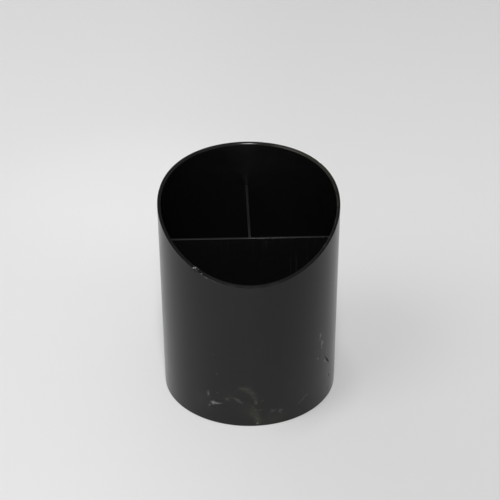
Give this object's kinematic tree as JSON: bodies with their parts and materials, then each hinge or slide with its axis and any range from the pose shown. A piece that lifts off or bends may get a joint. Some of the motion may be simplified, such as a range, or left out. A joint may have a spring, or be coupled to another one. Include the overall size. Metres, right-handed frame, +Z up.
{
  "type": "pencil cup",
  "caption": "Round desk cup for pens and pencils, with a curved rim that slopes up to the back and a T-shaped divider.",
  "frame": {"origin": "middle of the underside, on the surface the cup stands on", "axes": "+Z up, -Y towards the low front of the rim, +Y towards the high back, +X to the right seen from the front"},
  "size_m": [0.108, 0.108, 0.1385],
  "materials": {
    "wall": "satin black outside, glossier inside",
    "floor": "satin black",
    "divider": "glossy black sheet"
  },
  "bodies": {
    "root": {"cup_wall": "wall", "cup_floor": "floor", "cross_divider": "divider", "rear_divider": "divider"}
  },
  "joints": []
}
